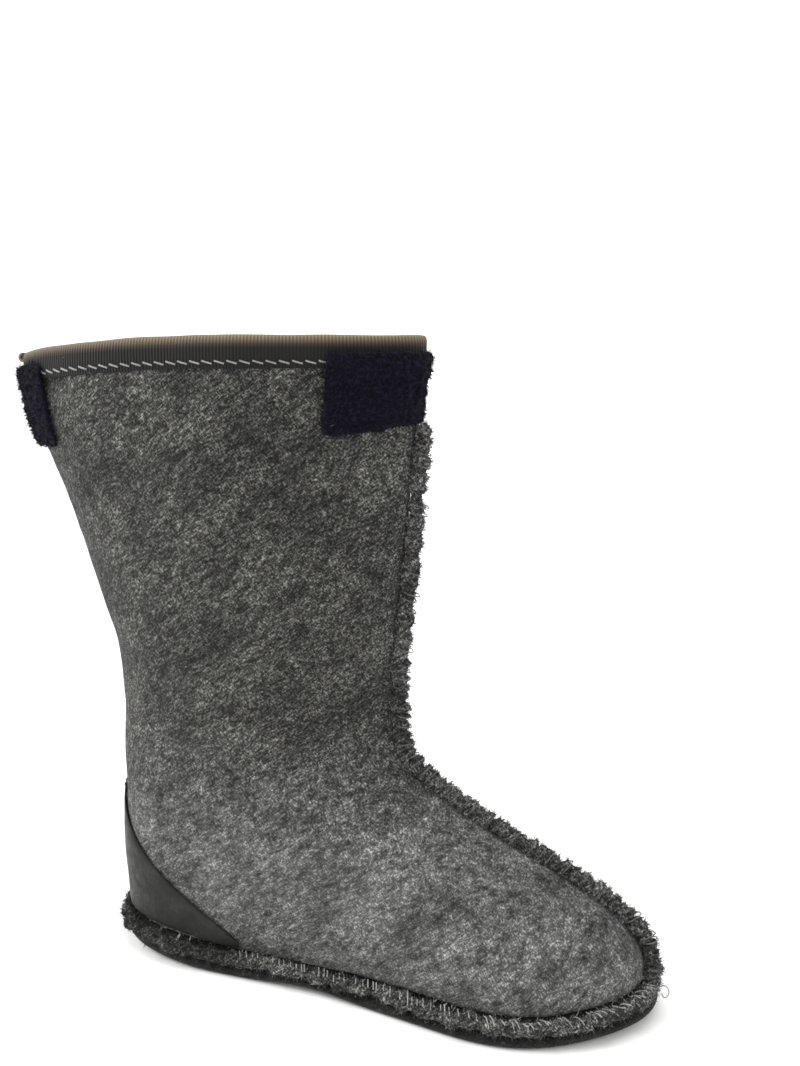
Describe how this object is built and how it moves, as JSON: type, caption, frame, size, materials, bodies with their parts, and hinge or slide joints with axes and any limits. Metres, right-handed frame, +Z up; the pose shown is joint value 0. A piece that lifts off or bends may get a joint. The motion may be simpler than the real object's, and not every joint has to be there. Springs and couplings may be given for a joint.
{
  "type": "boot liner",
  "caption": "Removable grey wool-felt boot liner with a raised front seam, overlocked sole seam, leather heel counter, taped collar and two loop-pile patches.",
  "frame": {"origin": "middle of the heel's flat spot, on the floor, in the liner's plane of symmetry", "axes": "+X towards the toe, +Z up the shaft, +Y to the wearer's left"},
  "size_m": [0.3161, 0.1056, 0.2966],
  "materials": {
    "wool_felt": "napped",
    "sole_felt": "matt",
    "overlock_wool": "napped",
    "counter_leather": "satin",
    "ribbed_tape": "ribbed",
    "loop_pile": "brushed"
  },
  "bodies": {
    "root": {"sole": "sole_felt", "upper": "wool_felt", "sole_seam": "overlock_wool", "front_seam": "overlock_wool", "heel_counter": "counter_leather", "collar_binding": "ribbed_tape", "front_patch": "loop_pile", "rear_patch": "loop_pile"}
  },
  "joints": []
}
